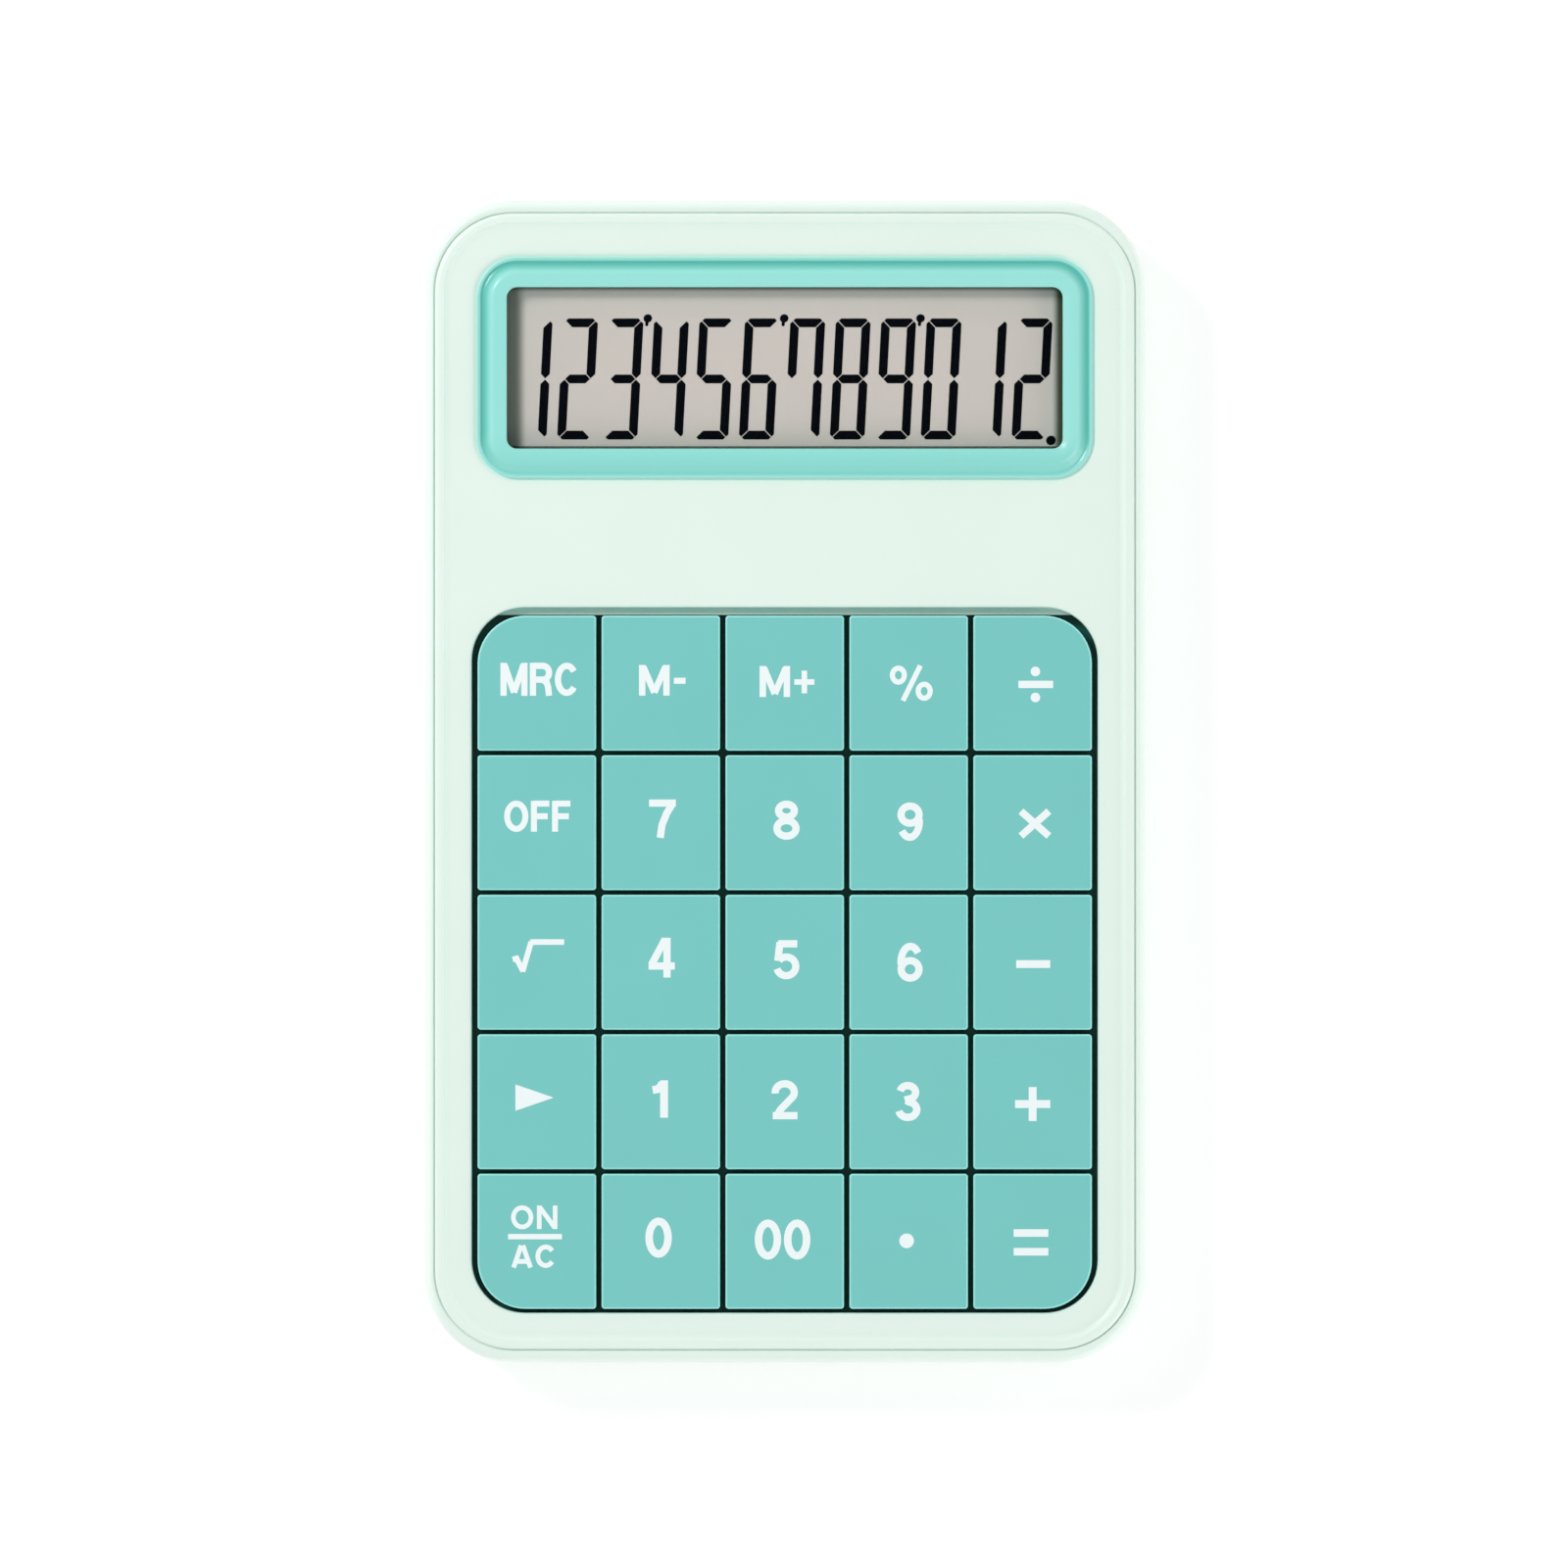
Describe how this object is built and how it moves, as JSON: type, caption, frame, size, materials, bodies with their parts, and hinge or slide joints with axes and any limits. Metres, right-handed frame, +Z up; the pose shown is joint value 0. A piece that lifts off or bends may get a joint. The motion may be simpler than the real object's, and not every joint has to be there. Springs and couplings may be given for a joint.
{
  "type": "desk calculator",
  "caption": "Slim mint desk calculator with a wide segment display in a teal bezel above flat square tile keys set in a rounded well.",
  "frame": {"origin": "on the surface that it stands on, below the middle of the case", "axes": "+X to the right across the keys, +Y along the case towards the display, +Z up out of the keys"},
  "size_m": [0.105, 0.1694, 0.0177],
  "materials": {
    "case_plastic": "satin mint plastic",
    "bezel_plastic": "glossy light teal plastic",
    "lens_plastic": "clear glossy acrylic",
    "lcd_glass": "warm grey segment display",
    "ribbon_film": "amber polyimide film",
    "screw_steel": "plated steel",
    "board_laminate": "green solder mask",
    "chip_plastic": "black moulding compound",
    "component_ceramic": "tan ceramic and tinned ends",
    "keypad_rubber": "grey silicone",
    "cell_jacket": "plain printed jacket",
    "contact_steel": "nickel-plated spring steel",
    "foot_rubber": "dark rubber",
    "key_plastic": "satin teal plastic"
  },
  "bodies": {
    "case": {"lower_case": "case_plastic", "upper_cover": "case_plastic", "display_bezel": "bezel_plastic", "display_lens": "lens_plastic", "lcd_panel": "lcd_glass", "lcd_holder": "case_plastic", "lcd_ribbon": "ribbon_film", "holder_screws": "screw_steel", "circuit_board": "board_laminate", "controller_chip": "chip_plastic", "board_components": "component_ceramic", "board_screws": "screw_steel", "rubber_keypad": "keypad_rubber", "battery_cell": "cell_jacket", "battery_spring": "contact_steel", "battery_contact_plate": "contact_steel", "case_screws": "screw_steel", "rubber_feet": "foot_rubber"},
    "key_mrc": {"key_mrc": "key_plastic"},
    "key_m_minus": {"key_m_minus": "key_plastic"},
    "key_m_plus": {"key_m_plus": "key_plastic"},
    "key_percent": {"key_percent": "key_plastic"},
    "key_divide": {"key_divide": "key_plastic"},
    "key_off": {"key_off": "key_plastic"},
    "key_7": {"key_7": "key_plastic"},
    "key_8": {"key_8": "key_plastic"},
    "key_9": {"key_9": "key_plastic"},
    "key_multiply": {"key_multiply": "key_plastic"},
    "key_root": {"key_root": "key_plastic"},
    "key_4": {"key_4": "key_plastic"},
    "key_5": {"key_5": "key_plastic"},
    "key_6": {"key_6": "key_plastic"},
    "key_minus": {"key_minus": "key_plastic"},
    "key_arrow": {"key_arrow": "key_plastic"},
    "key_1": {"key_1": "key_plastic"},
    "key_2": {"key_2": "key_plastic"},
    "key_3": {"key_3": "key_plastic"},
    "key_plus": {"key_plus": "key_plastic"},
    "key_on_ac": {"key_on_ac": "key_plastic"},
    "key_0": {"key_0": "key_plastic"},
    "key_00": {"key_00": "key_plastic"},
    "key_point": {"key_point": "key_plastic"},
    "key_equals": {"key_equals": "key_plastic"},
    "door": {"battery_door": "case_plastic"}
  },
  "joints": [
    {"name": "press_mrc", "type": "slide", "parent": "case", "child": "key_mrc", "axis": [0, 0, -1], "range_m": [0, 0.0015], "stiffness_N_per_m": 400, "springref_m": -0.0005, "deforming": ["rubber_keypad"]},
    {"name": "press_m_minus", "type": "slide", "parent": "case", "child": "key_m_minus", "axis": [0, 0, -1], "range_m": [0, 0.0015], "stiffness_N_per_m": 400, "springref_m": -0.0005, "deforming": ["rubber_keypad"]},
    {"name": "press_m_plus", "type": "slide", "parent": "case", "child": "key_m_plus", "axis": [0, 0, -1], "range_m": [0, 0.0015], "stiffness_N_per_m": 400, "springref_m": -0.0005, "deforming": ["rubber_keypad"]},
    {"name": "press_percent", "type": "slide", "parent": "case", "child": "key_percent", "axis": [0, 0, -1], "range_m": [0, 0.0015], "stiffness_N_per_m": 400, "springref_m": -0.0005, "deforming": ["rubber_keypad"]},
    {"name": "press_divide", "type": "slide", "parent": "case", "child": "key_divide", "axis": [0, 0, -1], "range_m": [0, 0.0015], "stiffness_N_per_m": 400, "springref_m": -0.0005, "deforming": ["rubber_keypad"]},
    {"name": "press_off", "type": "slide", "parent": "case", "child": "key_off", "axis": [0, 0, -1], "range_m": [0, 0.0015], "stiffness_N_per_m": 400, "springref_m": -0.0005, "deforming": ["rubber_keypad"]},
    {"name": "press_7", "type": "slide", "parent": "case", "child": "key_7", "axis": [0, 0, -1], "range_m": [0, 0.0015], "stiffness_N_per_m": 400, "springref_m": -0.0005, "deforming": ["rubber_keypad"]},
    {"name": "press_8", "type": "slide", "parent": "case", "child": "key_8", "axis": [0, 0, -1], "range_m": [0, 0.0015], "stiffness_N_per_m": 400, "springref_m": -0.0005, "deforming": ["rubber_keypad"]},
    {"name": "press_9", "type": "slide", "parent": "case", "child": "key_9", "axis": [0, 0, -1], "range_m": [0, 0.0015], "stiffness_N_per_m": 400, "springref_m": -0.0005, "deforming": ["rubber_keypad"]},
    {"name": "press_multiply", "type": "slide", "parent": "case", "child": "key_multiply", "axis": [0, 0, -1], "range_m": [0, 0.0015], "stiffness_N_per_m": 400, "springref_m": -0.0005, "deforming": ["rubber_keypad"]},
    {"name": "press_root", "type": "slide", "parent": "case", "child": "key_root", "axis": [0, 0, -1], "range_m": [0, 0.0015], "stiffness_N_per_m": 400, "springref_m": -0.0005, "deforming": ["rubber_keypad"]},
    {"name": "press_4", "type": "slide", "parent": "case", "child": "key_4", "axis": [0, 0, -1], "range_m": [0, 0.0015], "stiffness_N_per_m": 400, "springref_m": -0.0005, "deforming": ["rubber_keypad"]},
    {"name": "press_5", "type": "slide", "parent": "case", "child": "key_5", "axis": [0, 0, -1], "range_m": [0, 0.0015], "stiffness_N_per_m": 400, "springref_m": -0.0005, "deforming": ["rubber_keypad"]},
    {"name": "press_6", "type": "slide", "parent": "case", "child": "key_6", "axis": [0, 0, -1], "range_m": [0, 0.0015], "stiffness_N_per_m": 400, "springref_m": -0.0005, "deforming": ["rubber_keypad"]},
    {"name": "press_minus", "type": "slide", "parent": "case", "child": "key_minus", "axis": [0, 0, -1], "range_m": [0, 0.0015], "stiffness_N_per_m": 400, "springref_m": -0.0005, "deforming": ["rubber_keypad"]},
    {"name": "press_arrow", "type": "slide", "parent": "case", "child": "key_arrow", "axis": [0, 0, -1], "range_m": [0, 0.0015], "stiffness_N_per_m": 400, "springref_m": -0.0005, "deforming": ["rubber_keypad"]},
    {"name": "press_1", "type": "slide", "parent": "case", "child": "key_1", "axis": [0, 0, -1], "range_m": [0, 0.0015], "stiffness_N_per_m": 400, "springref_m": -0.0005, "deforming": ["rubber_keypad"]},
    {"name": "press_2", "type": "slide", "parent": "case", "child": "key_2", "axis": [0, 0, -1], "range_m": [0, 0.0015], "stiffness_N_per_m": 400, "springref_m": -0.0005, "deforming": ["rubber_keypad"]},
    {"name": "press_3", "type": "slide", "parent": "case", "child": "key_3", "axis": [0, 0, -1], "range_m": [0, 0.0015], "stiffness_N_per_m": 400, "springref_m": -0.0005, "deforming": ["rubber_keypad"]},
    {"name": "press_plus", "type": "slide", "parent": "case", "child": "key_plus", "axis": [0, 0, -1], "range_m": [0, 0.0015], "stiffness_N_per_m": 400, "springref_m": -0.0005, "deforming": ["rubber_keypad"]},
    {"name": "press_on_ac", "type": "slide", "parent": "case", "child": "key_on_ac", "axis": [0, 0, -1], "range_m": [0, 0.0015], "stiffness_N_per_m": 400, "springref_m": -0.0005, "deforming": ["rubber_keypad"]},
    {"name": "press_0", "type": "slide", "parent": "case", "child": "key_0", "axis": [0, 0, -1], "range_m": [0, 0.0015], "stiffness_N_per_m": 400, "springref_m": -0.0005, "deforming": ["rubber_keypad"]},
    {"name": "press_00", "type": "slide", "parent": "case", "child": "key_00", "axis": [0, 0, -1], "range_m": [0, 0.0015], "stiffness_N_per_m": 400, "springref_m": -0.0005, "deforming": ["rubber_keypad"]},
    {"name": "press_point", "type": "slide", "parent": "case", "child": "key_point", "axis": [0, 0, -1], "range_m": [0, 0.0015], "stiffness_N_per_m": 400, "springref_m": -0.0005, "deforming": ["rubber_keypad"]},
    {"name": "press_equals", "type": "slide", "parent": "case", "child": "key_equals", "axis": [0, 0, -1], "range_m": [0, 0.0015], "stiffness_N_per_m": 400, "springref_m": -0.0005, "deforming": ["rubber_keypad"]},
    {"name": "door_swing", "type": "hinge", "parent": "case", "child": "door", "pos_m": [0, 0.02998, 0.0017], "axis": [-1, 0, 0], "range_deg": [0, 60]}
  ]
}
